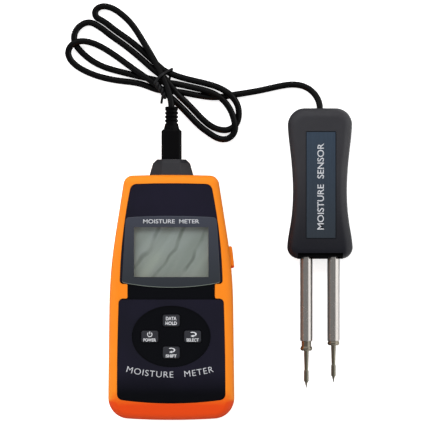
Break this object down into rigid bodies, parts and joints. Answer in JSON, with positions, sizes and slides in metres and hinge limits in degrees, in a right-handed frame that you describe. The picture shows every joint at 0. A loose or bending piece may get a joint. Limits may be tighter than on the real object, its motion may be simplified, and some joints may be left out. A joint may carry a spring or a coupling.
{
  "type": "moisture meter",
  "caption": "Handheld moisture meter with keypad, battery bay and plug-in measuring probe on a coiled lead, the probe carrying clamped needle pins.",
  "frame": {"origin": "centre of the meter's back face, on the plane the object lies on", "axes": "+Z out of the display face, +Y along the meter towards the probe socket, +X towards the probe handle"},
  "size_m": [0.1496, 0.2163, 0.027],
  "materials": {
    "orange_shell": "moulded, fine matt grain",
    "dark_panel": "satin printed",
    "lens": "clear acrylic, printed border, polished",
    "lcd": "reflective screen, off",
    "white_plastic": "moulded",
    "silicone": "soft matt",
    "board": "solder mask",
    "chip": "moulded epoxy",
    "key_plastic": "satin, printed signs",
    "cell_can": "printed sleeve",
    "spring_steel": "nickel plated wire",
    "nickel": "nickel plated",
    "screw_steel": "zinc plated",
    "hood_plastic": "moulded, fine grain",
    "black_plastic": "moulded, satin",
    "soft_black": "soft moulded",
    "brass_contact": "plated",
    "wire_jacket": "insulated wire",
    "cable_jacket": "smooth flexible jacket",
    "tie_plastic": "coated wire",
    "handle_plastic": "moulded, fine grain",
    "label_plate": "painted plate, satin",
    "rod_steel": "polished along its length",
    "collar_steel": "turned",
    "needle_steel": "hardened, ground point"
  },
  "bodies": {
    "meter": {"front_bezel": "orange_shell", "rear_cover": "orange_shell", "face_panel": "dark_panel", "display_lens": "lens", "lcd_glass": "lcd", "lcd_holder": "white_plastic", "zebra_strips": "silicone", "main_board": "board", "controller_chip": "chip", "board_components": "chip", "keypad_mat": "silicone", "side_switch": "chip", "battery_cells": "cell_can", "battery_springs": "spring_steel", "battery_contacts": "nickel", "case_screws": "screw_steel", "board_screws": "screw_steel", "socket_hood": "hood_plastic", "probe_socket": "black_plastic", "socket_contacts": "brass_contact", "socket_wires": "wire_jacket"},
    "power_key": {"power_key": "key_plastic"},
    "hold_key": {"hold_key": "key_plastic"},
    "select_key": {"select_key": "key_plastic"},
    "shift_key": {"shift_key": "key_plastic"},
    "side_button": {"side_button": "orange_shell", "switch_plunger": "white_plastic"},
    "battery_door": {"battery_door": "orange_shell"},
    "probe_lead": {"plug_body": "black_plastic", "plug_shell": "nickel", "plug_core": "black_plastic", "plug_pins": "brass_contact", "strain_relief": "soft_black", "cable": "cable_jacket", "cable_tie": "tie_plastic", "cable_grommet": "soft_black", "handle_front": "handle_plastic", "handle_rear": "handle_plastic", "handle_label": "label_plate", "handle_screws": "screw_steel", "rod_guide": "black_plastic", "rod_block": "black_plastic", "rod_terminals": "nickel", "handle_wires": "wire_jacket", "left_rod": "rod_steel", "right_rod": "rod_steel"},
    "left_needle": {"left_needle": "needle_steel"},
    "left_collar": {"left_collar": "collar_steel"},
    "right_needle": {"right_needle": "needle_steel"},
    "right_collar": {"right_collar": "collar_steel"}
  },
  "joints": [
    {"name": "power_key_press", "type": "slide", "parent": "meter", "child": "power_key", "axis": [0, 0, -1], "range_m": [0, 0.0008], "stiffness_N_per_m": 400, "deforming": ["keypad_mat"]},
    {"name": "hold_key_press", "type": "slide", "parent": "meter", "child": "hold_key", "axis": [0, 0, -1], "range_m": [0, 0.0008], "stiffness_N_per_m": 400, "deforming": ["keypad_mat"]},
    {"name": "select_key_press", "type": "slide", "parent": "meter", "child": "select_key", "axis": [0, 0, -1], "range_m": [0, 0.0008], "stiffness_N_per_m": 400, "deforming": ["keypad_mat"]},
    {"name": "shift_key_press", "type": "slide", "parent": "meter", "child": "shift_key", "axis": [0, 0, -1], "range_m": [0, 0.0008], "stiffness_N_per_m": 400, "deforming": ["keypad_mat"]},
    {"name": "side_button_press", "type": "slide", "parent": "meter", "child": "side_button", "axis": [-0.9934, -0.1148, 0], "range_m": [0, 0.0006], "stiffness_N_per_m": 600},
    {"name": "battery_door_slide", "type": "slide", "parent": "meter", "child": "battery_door", "axis": [0, -1, 0], "range_m": [0, 0.052]},
    {"name": "plug_pull", "type": "slide", "parent": "meter", "child": "probe_lead", "axis": [0, 1, 0], "range_m": [0, 0.02]},
    {"name": "left_needle_travel", "type": "slide", "parent": "probe_lead", "child": "left_needle", "axis": [0, -1, 0], "range_m": [-0.0028, 0.0042]},
    {"name": "left_collar_turn", "type": "hinge", "parent": "left_needle", "child": "left_collar", "pos_m": [0.06995, -0.023, 0.009], "axis": [0, -1, 0], "range_deg": [-1261, 1891]},
    {"name": "right_needle_travel", "type": "slide", "parent": "probe_lead", "child": "right_needle", "axis": [0, -1, 0], "range_m": [0, 0.007]},
    {"name": "right_collar_turn", "type": "hinge", "parent": "right_needle", "child": "right_collar", "pos_m": [0.08405, -0.023, 0.009], "axis": [0, -1, 0], "range_deg": [-1, 3151]}
  ],
  "couplings": [
    {"joint": "left_collar_turn", "follows": "left_needle_travel", "rad_per_m": 7854},
    {"joint": "right_collar_turn", "follows": "right_needle_travel", "rad_per_m": 7854}
  ]
}
